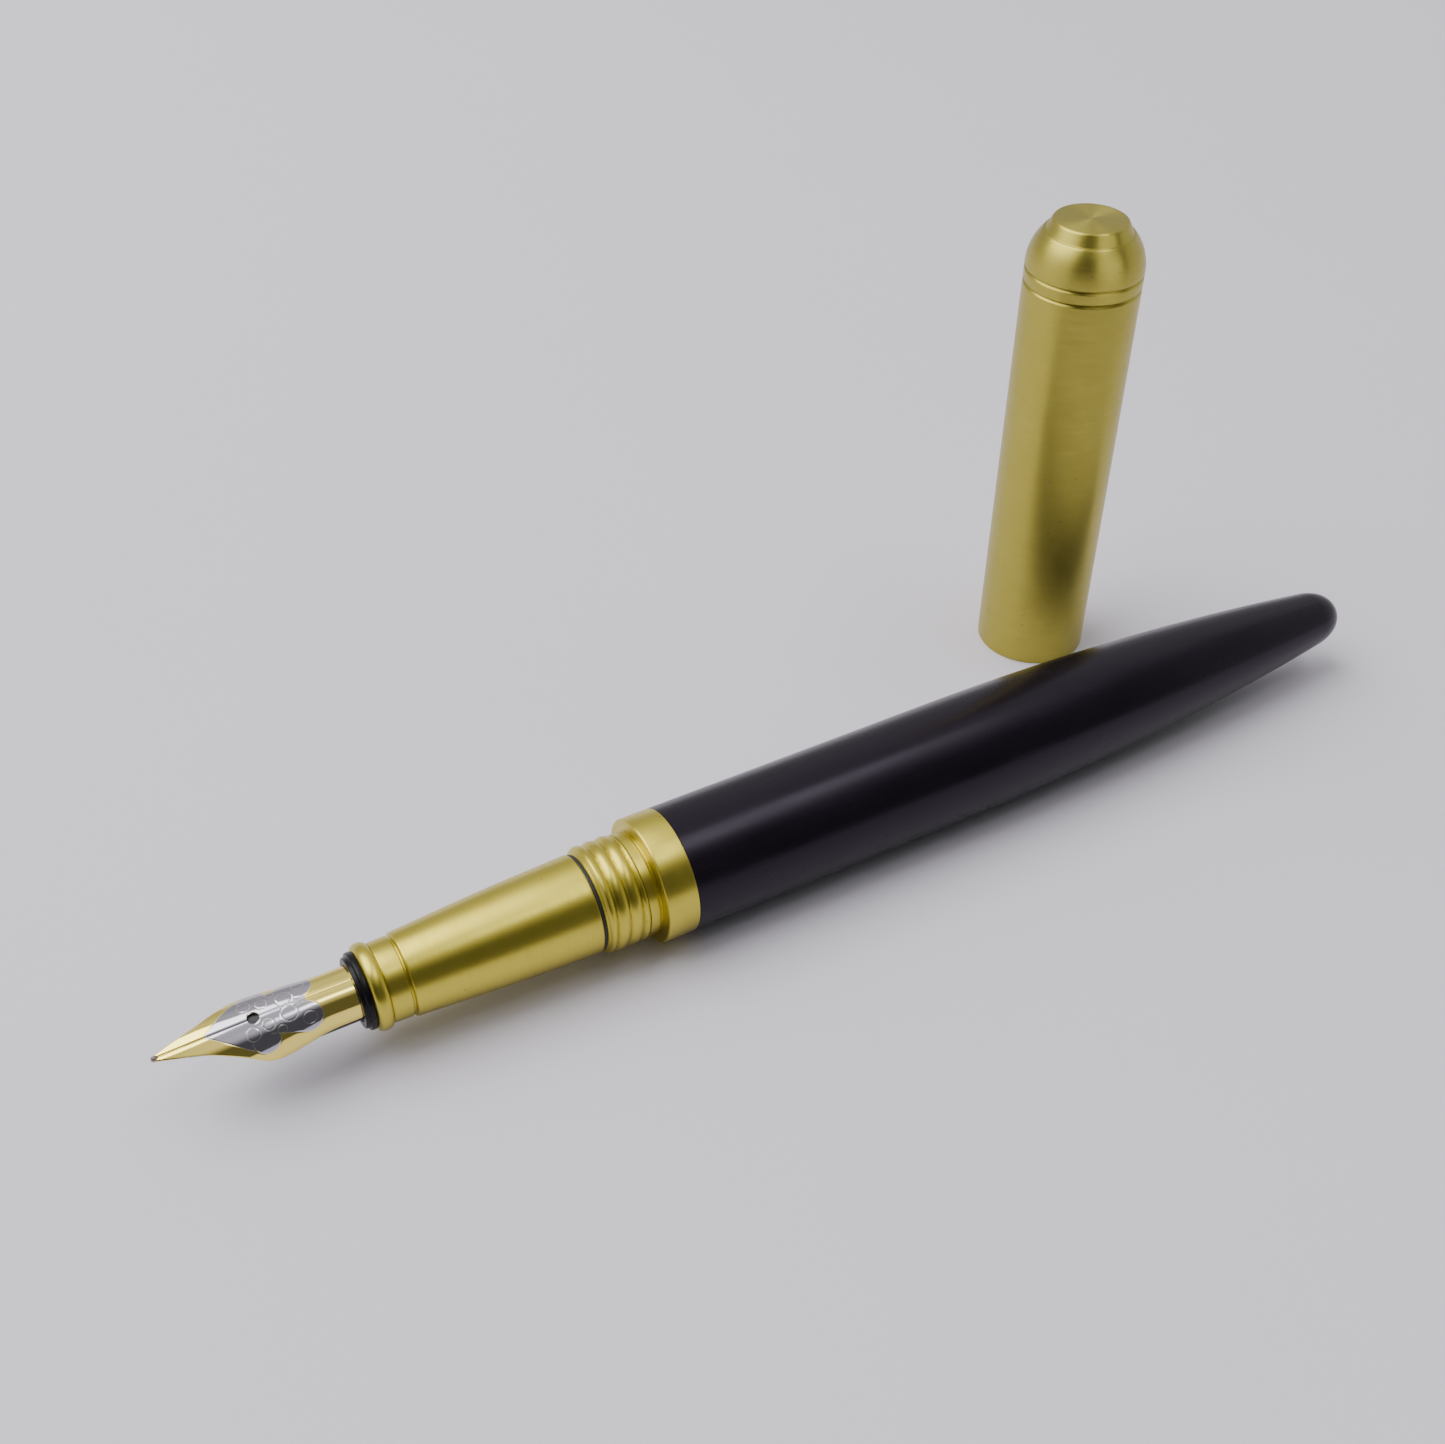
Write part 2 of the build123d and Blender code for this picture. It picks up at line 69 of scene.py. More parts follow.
# Stations along the pen count from the barrel's mouth, as in the CAD, with the nib negative.
MOUTH_X = barrel_low.x
AXIS_Y = (barrel_low.y + barrel_high.y) / 2
AXIS_Z = (barrel_low.z + barrel_high.z) / 2
BARREL_R = (barrel_high.y - barrel_low.y) / 2
TAIL_END = barrel_high.x - MOUTH_X
TRIM_FRONT = trim_low.x - MOUTH_X
COUPLER_FRONT = coupler_low.x - MOUTH_X
COUPLER_END = coupler_high.x - MOUTH_X
SECTION_FRONT = section_low.x - MOUTH_X
SECTION_REAR = seal_low.x - MOUTH_X
SECTION_END = section_high.x - MOUTH_X
SECTION_REAR_R = (section_high.y - section_low.y) / 2
SEAL_R = (seal_high.y - seal_low.y) / 2
COLLAR_FRONT = housing_low.x - MOUTH_X
COLLAR_R = (housing_high.y - housing_low.y) / 2
HOUSING_END = housing_high.x - MOUTH_X
NIB_END = nib_low.x - MOUTH_X
NIB_TAIL = nib_high.x - MOUTH_X
TIP_END = tipping_low.x - MOUTH_X
FEED_END = feed_low.x - MOUTH_X
FEED_TAIL = feed_high.x - MOUTH_X

CAP_X = (cap_low.x + cap_high.x) / 2
CAP_Y = (cap_low.y + cap_high.y) / 2
CAP_R = (cap_high.x - cap_low.x) / 2
GROOVE_LOW = cap_high.z
GROOVE_HIGH = spacer_high.z
CAP_TOP = finial_high.z

PEN_AXIS = Vector((MOUTH_X, AXIS_Y, AXIS_Z))
CAP_AXIS = Vector((CAP_X, CAP_Y, 0))

# ---------------------------------------------------------------- sizes shared by the pieces, in mm
TAPER_START = 34.0
TAPER_R = 405.0
DOME_START = 85.4
BORE_R = 5.1
BORE_END = 57.0
DRILL_R = 4.2
DRILL_END = 61.0
TRIM_BORE_R = 5.0
THREAD_PITCH = 1.38
THREAD_ROOT_R = 5.2
THREAD_CREST_R = 5.53
LAND_R = 5.36
LAND_FRONT = -4.75
TENON_R = 4.5
SECTION_BORE_R = 3.7
HOUSING_R = 3.3
HOUSING_REAR = -16.0
HOUSING_BORE_R = 2.82
HOUSING_BORE_END = -17.5
NIB_ROLL = 15.0
NIB_THICKNESS = 0.25
NIB_TAIL_R = 2.78
NIB_HOLE = -42.4
NIB_HOLE_R = 0.55
NIB_SLIT = 0.07
TIPPING_R = (tipping_high.z - tipping_low.z) / 2
FEED_R = 2.58
CAP_BORE_R = 5.9
CAP_WEB = 1.6
CAP_SCREW_HOLE_R = 1.55
FINIAL_HOLE_R = 1.5
FINIAL_HOLE_DEPTH = 2.4
GROOVE_DEPTH = 0.22
DOME_R = 5.64
LEDGE_R = 4.57
LEDGE_HEIGHT = 1.27
CAP_FLAT_R = 3.92

SMOOTH_ANGLE = math.radians(38)
NIB_SMOOTH_ANGLE = math.radians(50)
MERGE_DISTANCE = 1e-7
FINE_SEGMENTS = 256


# ---------------------------------------------------------------- mesh helpers
def finished(name, mesh, body, slot, material, *nodes):
    """Links a mesh as a piece that rides on a body and stands for some CAD nodes."""
    mesh.materials.append(material)
    piece = bpy.data.objects.new(name, mesh)
    bpy.context.collection.objects.link(piece)
    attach(piece, body)
    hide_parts(*nodes)
    return piece


def cleaned(mesh, smooth_angle):
    """Merges double points, turns the faces outwards and shades the mesh smooth below an angle."""
    work = bmesh.new()
    work.from_mesh(mesh)
    bmesh.ops.remove_doubles(work, verts=work.verts, dist=MERGE_DISTANCE)
    bmesh.ops.recalc_face_normals(work, faces=work.faces)
    work.to_mesh(mesh)
    work.free()
    mesh.shade_smooth()
    mesh.set_sharp_from_angle(angle=smooth_angle)
    return mesh


def mesh_from(name, points, faces):
    """A closed, outward-facing, smooth-shaded mesh from points in millimetres."""
    mesh = bpy.data.meshes.new(name)
    mesh.from_pydata([tuple(Vector(p) * MM) for p in points], [], faces)
    return cleaned(mesh, SMOOTH_ANGLE)


def on_pen(station, radius, angle):
    """A point round the pen's axis, at a station along it."""
    return PEN_AXIS + Vector((station, radius * math.sin(angle), radius * math.cos(angle)))


def on_cap(height, radius, angle):
    """A point round the cap's axis, at a height above the table."""
    return CAP_AXIS + Vector((radius * math.cos(angle), radius * math.sin(angle), height))


def lathe(name, outline, place, segments=192, relief=None):
    """Turns a closed (station, radius) outline; relief may change the radius at each angle."""
    points, rings = [], []
    for station, radius in outline:
        if radius < 1e-6:
            rings.append([len(points)] * segments)
            points.append(place(station, 0, 0))
            continue
        first = len(points)
        for k in range(segments):
            angle = 2 * math.pi * k / segments
            here = radius + (relief(station, radius, angle) if relief else 0)
            points.append(place(station, here, angle))
        rings.append(range(first, first + segments))
    faces = []
    for low, high in zip(rings, rings[1:] + rings[:1]):
        for k in range(segments):
            n = (k + 1) % segments
            face = list(dict.fromkeys((low[k], low[n], high[n], high[k])))
            if len(face) > 2:
                faces.append(face)
    return mesh_from(name, points, faces)


def softened(*corners, steps=4):
    """An outline whose corners (station, radius, softness) are rounded off by that softness."""
    outline = []
    count = len(corners)
    for k, (station, radius, *soft) in enumerate(corners):
        here = Vector((station, radius))
        if not soft:
            outline.append(tuple(here))
            continue
        before = Vector(corners[k - 1][:2]) - here
        after = Vector(corners[(k + 1) % count][:2]) - here
        a = here + before.normalized() * min(soft[0], before.length / 2)
        b = here + after.normalized() * min(soft[0], after.length / 2)
        for i in range(steps + 1):
            t = i / steps
            outline.append(tuple(a * (1 - t) ** 2 + here * 2 * t * (1 - t) + b * t * t))
    return outline


def run(start, end, steps, radius):
    """Points (station, radius) along a stretch whose radius is a function of the station."""
    return [(s, radius(s)) for s in np.linspace(start, end, steps + 1).tolist()]


def smooth(t):
    """Eases from 0 at t = 0 to 1 at t = 1."""
    t = min(max(t, 0.0), 1.0)
    return t * t * (3 - 2 * t)


# ---------------------------------------------------------------- material helpers
class Nodes:
    """Short calls for building a node tree."""

    def __init__(self, tree):
        self.tree = tree
        self.nodes = tree.nodes

    def put(self, target, value):
        if isinstance(value, bpy.types.NodeSocket):
            self.tree.links.new(value, target)
        else:
            target.default_value = value

    def add(self, kind, inputs=(), **settings):
        node = self.nodes.new(kind)
        for key, value in settings.items():
            setattr(node, key, value)
        for key, value in dict(inputs).items():
            self.put(node.inputs[key], value)
        return node

    def math(self, operation, a, b=0.0, c=0.0):
        return self.add("ShaderNodeMath", {0: a, 1: b, 2: c}, operation=operation).outputs[0]

    def vector(self, x, y, z):
        return self.add("ShaderNodeCombineXYZ", {0: x, 1: y, 2: z}).outputs[0]

    def noise(self, vector, scale=1.0, detail=2.0, roughness=0.5):
        inputs = {"Vector": vector, "Scale": scale, "Detail": detail, "Roughness": roughness}
        return self.add("ShaderNodeTexNoise", inputs).outputs["Fac"]

    def remap(self, value, low, high, to_low, to_high):
        inputs = {"Value": value, 1: low, 2: high, 3: to_low, 4: to_high}
        return self.add("ShaderNodeMapRange", inputs).outputs["Result"]

    def blend(self, factor, first, second):
        node = self.add("ShaderNodeMix", data_type="RGBA")
        self.put(node.inputs[0], factor)
        self.put(node.inputs[6], first)
        self.put(node.inputs[7], second)
        return node.outputs[2]

    def bump(self, height, strength, depth_mm, normal=None):
        inputs = {"Height": height, "Strength": strength, "Distance": depth_mm * MM}
        if normal is not None:
            inputs["Normal"] = normal
        return self.add("ShaderNodeBump", inputs).outputs["Normal"]


def colour(r, g, b):
    return (r, g, b, 1.0)


def new_material(name, **constants):
    """A material, its Nodes helper and its shader, with constant values set on the shader's sockets."""
    material = bpy.data.materials.new(name)
    material.use_nodes = True
    shader = material.node_tree.nodes["Principled BSDF"]
    for key, value in constants.items():
        shader.inputs[key.replace("_", " ")].default_value = value
    return material, Nodes(material.node_tree), shader


def turned_coordinates(n, axis_point, along):
    """Distance along a turning axis, distance from it and the two offsets from it, in mm."""
    position = n.add("ShaderNodeTexCoord").outputs["Object"]
    scaled = n.add("ShaderNodeVectorMath", {0: position, 3: 1 / MM}, operation="SCALE").outputs[0]
    centred = n.add("ShaderNodeVectorMath", {0: scaled, 1: tuple(axis_point)}, operation="SUBTRACT")
    split = n.add("ShaderNodeSeparateXYZ", {0: centred.outputs[0]})
    x, y, z = split.outputs
    axial, a, b = (x, y, z) if along == "X" else (z, x, y)
    square = n.math("MULTIPLY_ADD", a, a, n.math("MULTIPLY", b, b))
    return axial, n.math("SQRT", square), a, b


# How far the direction across the turning lines leans outwards, and the noise scales per mm
OUTWARD_LEAN = 0.4
LINE_LEAN = 0.7
FINE_LINES, COARSE_LINES, CLOUDS, SPECKS = 16.0, 3.5, 0.35, 1.9
SPECK_TINT = colour(0.16, 0.12, 0.05)
LACQUER_DEPTH = 0.012


def across_lines(n, along, radial, a, b):
    """The direction across turning lines; it leans outwards so that flat ends have one too."""
    out_a, out_b = (n.math("DIVIDE", n.math("MULTIPLY", side, OUTWARD_LEAN), radial) for side in (a, b))
    across = n.vector(1.0, out_a, out_b) if along == "X" else n.vector(out_a, out_b, 1.0)
    spaces = {"vector_type": "VECTOR", "convert_from": "OBJECT", "convert_to": "WORLD"}
    return n.add("ShaderNodeVectorTransform", {0: across}, **spaces).outputs[0]


def turned_metal(name, axis_point, along, tints, roughness, stretch, brush):
    """Lacquered brass with fine turning lines round its axis, faint cloudiness and small specks."""
    material, n, shader = new_material(name, Metallic=1.0, Anisotropic=stretch)
    axial, radial, a, b = turned_coordinates(n, axis_point, along)
    n.put(shader.inputs["Tangent"], across_lines(n, along, radial, a, b))
    cross = n.math("SUBTRACT", axial, n.math("MULTIPLY", radial, LINE_LEAN))

    fine = n.noise(n.vector(n.math("MULTIPLY", cross, FINE_LINES), a, b), 1.0, 2.0, 0.7)
    drawn_out = [n.math("MULTIPLY", side, 0.3) for side in (a, b)]
    coarse = n.vector(n.math("MULTIPLY", cross, COARSE_LINES), *drawn_out)
    coarse_lines = n.noise(coarse, 1.0, 3.0, 0.6)
    cloud = n.noise(n.vector(axial, a, b), CLOUDS, 3.0, 0.55)
    specks = n.noise(n.vector(axial, a, b), SPECKS, 1.0, 0.4)
    speck = n.remap(specks, 0.775, 0.81, 0.0, 1.0)

    base = n.blend(n.remap(cloud, 0.35, 0.65, 0.0, 1.0), tints[0], tints[1])
    base = n.blend(n.remap(coarse_lines, 0.3, 0.7, 0.0, 0.35), base, tints[2])
    base = n.blend(n.math("MULTIPLY", speck, 0.6), base, SPECK_TINT)
    n.put(shader.inputs["Base Color"], base)

    rough = n.remap(coarse_lines, 0.25, 0.75, roughness - 0.04, roughness + 0.05)
    n.put(shader.inputs["Roughness"], n.math("MULTIPLY_ADD", speck, 0.15, rough))
    normal = n.bump(fine, brush, LACQUER_DEPTH)
    n.put(shader.inputs["Normal"], n.bump(coarse_lines, 0.05, LACQUER_DEPTH, normal))
    return material


def black_resin(name):
    """Satin black turned resin with a faint violet cast, fine polishing lines and handling marks."""
    material, n, shader = new_material(
        name, Specular_IOR_Level=0.26, Specular_Tint=colour(0.90, 0.80, 1.0), IOR=1.5
    )
    axial, radial, a, b = turned_coordinates(n, PEN_AXIS, "X")
    cloud = n.noise(n.vector(n.math("MULTIPLY", axial, 0.25), a, b), 0.4, 3.0, 0.55)
    lines = n.noise(n.vector(n.math("MULTIPLY", axial, 11.0), n.math("MULTIPLY", a, 0.5), b), 1.0, 2.0, 0.6)
    base = n.blend(cloud, colour(0.0040, 0.0028, 0.0052), colour(0.0080, 0.0056, 0.0100))
    n.put(shader.inputs["Base Color"], base)
    haze = n.remap(cloud, 0.3, 0.7, 0.19, 0.26)
    n.put(shader.inputs["Roughness"], n.math("MULTIPLY_ADD", lines, 0.05, haze))
    n.put(shader.inputs["Normal"], n.bump(lines, 0.3, 0.006))
    return material


def plated_nib(name):
    """Polished two-tone plating; the mesh says where it is silver and where it is engraved."""
    material, n, shader = new_material(name, Metallic=1.0)
    silver = n.add("ShaderNodeAttribute", attribute_name="silver").outputs["Fac"]
    cut = n.add("ShaderNodeAttribute", attribute_name="engraved").outputs["Fac"]
    position = n.add("ShaderNodeTexCoord").outputs["Object"]
    stretched = n.add("ShaderNodeMapping", {0: position, 3: (300, 2600, 2600)}).outputs[0]
    grain = n.noise(stretched, 1.0, 3.0, 0.6)
    cloud = n.noise(position, 260.0, 2.0, 0.5)
    gold = n.blend(cloud, colour(0.88, 0.71, 0.15), colour(0.93, 0.77, 0.20))
    white = n.blend(cloud, colour(0.42, 0.405, 0.46), colour(0.50, 0.48, 0.53))
    base = n.blend(silver, gold, white)
    base = n.blend(n.math("MULTIPLY", cut, 0.55), base, colour(0.92, 0.88, 0.72))
    n.put(shader.inputs["Base Color"], base)
    rough = n.remap(grain, 0.3, 0.7, 0.06, 0.11)
    n.put(shader.inputs["Roughness"], n.math("MULTIPLY_ADD", cut, 0.22, rough))
    n.put(shader.inputs["Normal"], n.bump(grain, 0.12, 0.004))
    return material


# Noise scales per metre of moulded plastic
MOTTLE_SCALE = 1 / MM
SKIN_SCALE = 40 / MM / 6


def moulded(name, dark, light, roughness, **constants):
    """Moulded plastic or rubber: slight mottling, and a fine uneven skin."""
    material, n, shader = new_material(name, **constants)
    position = n.add("ShaderNodeTexCoord").outputs["Object"]
    mottle = n.noise(position, MOTTLE_SCALE, 3.0, 0.6)
    skin = n.noise(position, SKIN_SCALE, 2.0, 0.5)
    n.put(shader.inputs["Base Color"], n.blend(mottle, dark, light))
    n.put(shader.inputs["Roughness"], n.remap(skin, 0.3, 0.7, roughness - 0.05, roughness + 0.07))
    n.put(shader.inputs["Normal"], n.bump(skin, 0.2, 0.01))
    return material


def machined(name, dark, light, roughness, axis_point, along):
    """Plain machined metal with tool lines, for the hidden metal pieces."""
    material, n, shader = new_material(name, Metallic=1.0)
    axial, radial, a, b = turned_coordinates(n, axis_point, along)
    lines = n.noise(n.vector(n.math("MULTIPLY", n.math("ADD", axial, radial), 7.0), a, b), 1.0, 2.0, 0.6)
    n.put(shader.inputs["Base Color"], n.blend(lines, dark, light))
    n.put(shader.inputs["Roughness"], n.remap(lines, 0.3, 0.7, roughness - 0.06, roughness + 0.08))
    n.put(shader.inputs["Normal"], n.bump(lines, 0.3, 0.01))
    return material


PEN_TINTS = (colour(0.585, 0.495, 0.068), colour(0.62, 0.527, 0.078), colour(0.545, 0.456, 0.058))
CAP_TINTS = (colour(0.430, 0.370, 0.066), colour(0.455, 0.393, 0.075), colour(0.400, 0.342, 0.058))
pen_brass = turned_metal("pen_brass", PEN_AXIS, "X", PEN_TINTS, 0.34, 0.6, 0.15)
cap_brass = turned_metal("cap_brass", CAP_AXIS, "Z", CAP_TINTS, 0.35, 0.78, 0.09)
resin = black_resin("black_resin")
nib_plate = plated_nib("nib_plate")
collar_black = moulded(
    "collar_black", colour(0.002, 0.002, 0.0025), colour(0.005, 0.005, 0.006), 0.3, Specular_IOR_Level=0.2
)
feed_black = moulded("feed_black", colour(0.008, 0.008, 0.009), colour(0.018, 0.017, 0.018), 0.42)
rubber = moulded("seal_rubber", colour(0.006, 0.006, 0.006), colour(0.014, 0.014, 0.014), 0.55)
tipping_metal = machined(
    "tipping_metal", colour(0.30, 0.25, 0.22), colour(0.46, 0.40, 0.36), 0.3, PEN_AXIS, "X"
)


# ---------------------------------------------------------------- barrel end
def barrel_radius(station):
    fall = max(station - TAPER_START, 0.0)
    return BARREL_R - TAPER_R + math.sqrt(TAPER_R**2 - fall**2)


def make_barrel():
    """The black barrel: parallel, then one long arc, then a rounded closed tail."""
    shoulder_r = barrel_radius(DOME_START)
    reach = 0.55 * (TAIL_END - DOME_START)
    slope = (DOME_START - TAPER_START) / TAPER_R
    controls = [
        Vector((DOME_START, shoulder_r)),
        Vector((DOME_START + reach, shoulder_r - reach * slope)),
        Vector((TAIL_END, 0.6 * shoulder_r)),
        Vector((TAIL_END, 0.0)),
    ]

    def dome(t):
        weights = ((1 - t) ** 3, 3 * t * (1 - t) ** 2, 3 * t * t * (1 - t), t**3)
        return tuple(sum((c * w for c, w in zip(controls, weights)), Vector((0, 0))))

    outline = [(0.0, BARREL_R - 0.05), (0.05, BARREL_R), (0.4, BARREL_R)]
    outline += run(4, DOME_START, 60, barrel_radius)
    outline += [dome(t) for t in np.linspace(0, 1, 33)[1:-1].tolist()] + [(TAIL_END, 0.0)]
    outline += [(DRILL_END, 0.0), (DRILL_END, DRILL_R), (BORE_END, DRILL_R)]
    outline += [(BORE_END, BORE_R), (0.0, BORE_R)]
    mesh = lathe("barrel_skin", outline, on_pen, FINE_SEGMENTS)
    return finished("barrel_skin", mesh, "barrel", "black_resin", resin, "barrel")


def make_trim_ring():
    """The bright ring at the barrel's mouth, with a softly broken front edge."""
    outline = softened(
        (TRIM_FRONT, TRIM_BORE_R),
        (TRIM_FRONT, BARREL_R, 0.28),
        (0.0, BARREL_R, 0.04),
        (0.0, TRIM_BORE_R),
    )
    mesh = lathe("trim_ring_skin", outline, on_pen, FINE_SEGMENTS)
    return finished("trim_ring_skin", mesh, "barrel", "brushed_brass", pen_brass, "trim_ring")


def thread_relief(station, radius, angle):
    """Height of the rounded single-start cap thread above its root."""
    if radius < THREAD_ROOT_R - 0.02 or not COUPLER_FRONT < station < LAND_FRONT:
        return 0.0
    turn = (station - COUPLER_FRONT) / THREAD_PITCH - angle / (2 * math.pi)
    ridge = abs(math.sin(math.pi * turn)) ** 0.62
    rise = smooth((station - COUPLER_FRONT - 0.1) / 0.5)
    fade = smooth((LAND_FRONT - station) / 0.35)
    crest = (THREAD_CREST_R - THREAD_ROOT_R) * ridge * rise
    return crest * fade + (LAND_R - THREAD_ROOT_R) * (1 - fade)


def make_coupler():
    """The threaded nose between the seal and the trim ring, with its hub inside the barrel."""
    bore_r = TENON_R + 0.05
    hub_r = BORE_R - 0.4
    nose = 0.22
    relief_r = LAND_R - 0.14
    step, step_r = -1.8, 3.9
    front = COUPLER_FRONT
    outline = softened(
        (front, bore_r), (front, THREAD_ROOT_R - nose, 0.08), (front + nose, THREAD_ROOT_R, 0.08)
    )
    outline += run(front + nose + 0.06, LAND_FRONT, 90, lambda s: THREAD_ROOT_R)
    outline += softened(
        (LAND_FRONT + 0.03, LAND_R),
        (TRIM_FRONT - 0.42, LAND_R, 0.06),
        (TRIM_FRONT - 0.3, relief_r, 0.06),
        (TRIM_FRONT - 0.02, relief_r),
        (TRIM_FRONT, TRIM_BORE_R),
        (0.0, TRIM_BORE_R),
        (0.0, hub_r),
        (COUPLER_END, hub_r, 0.2),
        (COUPLER_END, step_r, 0.1),
        (step, step_r),
        (step, bore_r),
    )
    mesh = lathe("threaded_nose", outline, on_pen, FINE_SEGMENTS, thread_relief)
    return finished("threaded_nose", mesh, "barrel", "brushed_brass", pen_brass, "barrel_coupler")


# ---------------------------------------------------------------- grip
def make_section():
    """The tapered grip: lip bead, neck, V groove, cone and tenon."""
    bead_end = SECTION_FRONT + 1.5
    bead_r, root_r, neck_r, cone_r = 4.32, 3.85, 3.95, 4.16
    groove, groove_r = -28.6, neck_r - 0.16
    flare, flare_r = -18.5, 4.78
    half = (bead_end - SECTION_FRONT) / 2

    def bead(station):
        swell = 1 - ((station - SECTION_FRONT - half) / half) ** 2
        return root_r + (bead_r - root_r) * math.sqrt(max(swell, 0.0))

    outline = run(SECTION_FRONT, bead_end, 16, bead)
    outline += softened(
        (bead_end + 0.1, neck_r, 0.05),
        (groove - 0.1, neck_r + 0.05, 0.05),
        (groove, groove_r, 0.05),
        (groove + 0.14, groove_r, 0.05),
        (groove + 0.3, cone_r, 0.12),
        (flare, flare_r, 3.0),
        (SECTION_REAR, SECTION_REAR_R, 0.22),
        (SECTION_REAR, TENON_R),
        (SECTION_END, TENON_R, 0.3),
        (SECTION_END, SECTION_BORE_R),
        (HOUSING_REAR, SECTION_BORE_R),
        (HOUSING_REAR, HOUSING_R),
        (SECTION_FRONT, HOUSING_R),
        steps=6,
    )
    mesh = lathe("grip_section", outline, on_pen, FINE_SEGMENTS)
    return finished("grip_section", mesh, "section", "brushed_brass", pen_brass, "section")


def make_seal():
    """The thin black sealing ring between the grip and the threaded nose."""
    outline = softened(
        (SECTION_REAR, TENON_R + 0.05),
        (SECTION_REAR, SEAL_R, 0.1),
        (COUPLER_FRONT, SEAL_R, 0.1),
        (COUPLER_FRONT, TENON_R + 0.05),
    )
    mesh = lathe("grip_seal", outline, on_pen)
    return finished("grip_seal", mesh, "section_seal", "seal_rubber", rubber, "section_o_ring")


def make_housing():
    """The black stepped collar in front of the grip, and the housing with its nipple behind it."""
    lip_r, lip_step_r, lip = 3.48, 3.50, COLLAR_FRONT + 0.4
    nipple_root_r, nipple_end_r, nipple_bore_r = 1.25, 1.05, 0.6
    outline = softened(
        (COLLAR_FRONT, HOUSING_BORE_R, 0.08),
        (COLLAR_FRONT, lip_r, 0.16),
        (lip, lip_step_r, 0.08),
        (COLLAR_FRONT + 0.42, COLLAR_R, 0.2),
        (SECTION_FRONT - 0.02, COLLAR_R, 0.16),
        (SECTION_FRONT, HOUSING_R),
        (HOUSING_REAR, HOUSING_R, 0.1),
        (HOUSING_REAR, nipple_root_r),
        (HOUSING_END, nipple_end_r, 0.1),
        (HOUSING_END, nipple_bore_r),
        (HOUSING_BORE_END, nipple_bore_r),
        (HOUSING_BORE_END, HOUSING_BORE_R),
    )
    mesh = lathe("nib_collar", outline, on_pen)
    return finished("nib_collar", mesh, "section", "black_plastic", collar_black, "nib_housing")


# ---------------------------------------------------------------- nib unit
# The nib's form from its tail to its point: station, arc radius, height of its top above the
# axis, and half wrap angle in degrees
NIB_FORM = np.array([
    (NIB_TAIL, NIB_TAIL_R, NIB_TAIL_R, 82.0),
    (-33.6, NIB_TAIL_R, NIB_TAIL_R, 86.0),
    (-36.4, 2.80, 2.80, 88.0),
    (-38.7, 3.14, 2.82, 85.0),
    (-40.3, 3.35, 2.82, 84.0),
    (-41.4, 3.52, 2.82, 79.0),
    (-42.3, 3.62, 2.81, 71.0),
    (-43.5, 3.68, 2.79, 56.5),
    (-44.6, 3.72, 2.77, 45.0),
    (-45.8, 3.74, 2.73, 35.0),
    (-47.1, 3.70, 2.67, 25.5),
    (-48.4, 3.50, 2.60, 19.5),
    (-49.8, 3.20, 2.52, 14.0),
    (NIB_END, 2.80, 2.43, 6.0),
])[::-1]
NIB_TURN = Matrix.Rotation(math.radians(NIB_ROLL), 3, "X")


def nib_form(station):
    """Arc radius, top height and half wrap angle in radians, eased between the form's rows."""
    stations = NIB_FORM[:, 0]
    slopes = np.gradient(NIB_FORM[:, 1:], stations, axis=0)
    k = int(np.clip(np.searchsorted(stations, station) - 1, 0, len(stations) - 2))
    length = stations[k + 1] - stations[k]
    t = min(max((station - stations[k]) / length, 0.0), 1.0)
    eased = (
        (2 * t**3 - 3 * t**2 + 1) * NIB_FORM[k, 1:]
        + (t**3 - 2 * t**2 + t) * length * slopes[k]
        + (3 * t**2 - 2 * t**3) * NIB_FORM[k + 1, 1:]
        + (t**3 - t**2) * length * slopes[k + 1]
    )
    return eased[0], eased[1], math.radians(eased[2])


def ring_line(s, t, centre, across, radius, half_width=0.06):
    """1 on a circle of the unrolled nib, falling to 0 at half_width from it."""
    distance = abs(math.hypot(s - centre, t - across) - radius)
    return max(0.0, 1 - distance / half_width)


def straight_line(s, t, start, end, half_width=0.06):
    """1 on a straight stretch of the unrolled nib, falling to 0 at half_width from it."""
    a, b, p = Vector(start), Vector(end), Vector((s, t))
    k = min(max((p - a).dot(b - a) / (b - a).length_squared, 0.0), 1.0)
    return max(0.0, 1 - (p - a - (b - a) * k).length / half_width)


# Plated field and scroll lines, on the nib unrolled flat: stations, and distance from the slit
APEX = -46.9
FIELD_SLOPE = 0.80
BORDER_END = 3.65
SHOULDER = (-41.95, 2.40, 1.25)
LOBE = (-37.95, 1.72, 1.42)
WAIST_START, WAIST_END = (-41.4, 1.95), (-38.2, 3.10)
SCROLLS = (
    (-42.85, 1.50, 0.60),
    (-41.35, 1.12, 0.52),
    (-39.35, 0.78, 0.74),
    (-37.75, 1.85, 0.62),
    (-40.35, 1.95, 0.42),
)


def inside(s, t, circle):
    return math.hypot(s - circle[0], t - circle[1]) < circle[2]


def silver_at(s, t):
    """1 where the plating is silver, 0 where it is gold."""
    t = abs(t)
    if APEX < s <= SHOULDER[0]:
        if t < FIELD_SLOPE * (s - APEX) and (s < SHOULDER[0] - 1.25 or t < SHOULDER[1]):
            return 1.0
    if inside(s, t, SHOULDER) or inside(s, t, LOBE):
        return 1.0
    if SHOULDER[0] < s < WAIST_END[0]:
        k = (s - WAIST_START[0]) / (WAIST_END[0] - WAIST_START[0])
        return 1.0 if t < WAIST_START[1] + max(k, 0.0) * (WAIST_END[1] - WAIST_START[1]) else 0.0
    if WAIST_END[0] <= s < LOBE[0] + 0.35 and t < LOBE[1]:
        return 1.0
    return 0.0


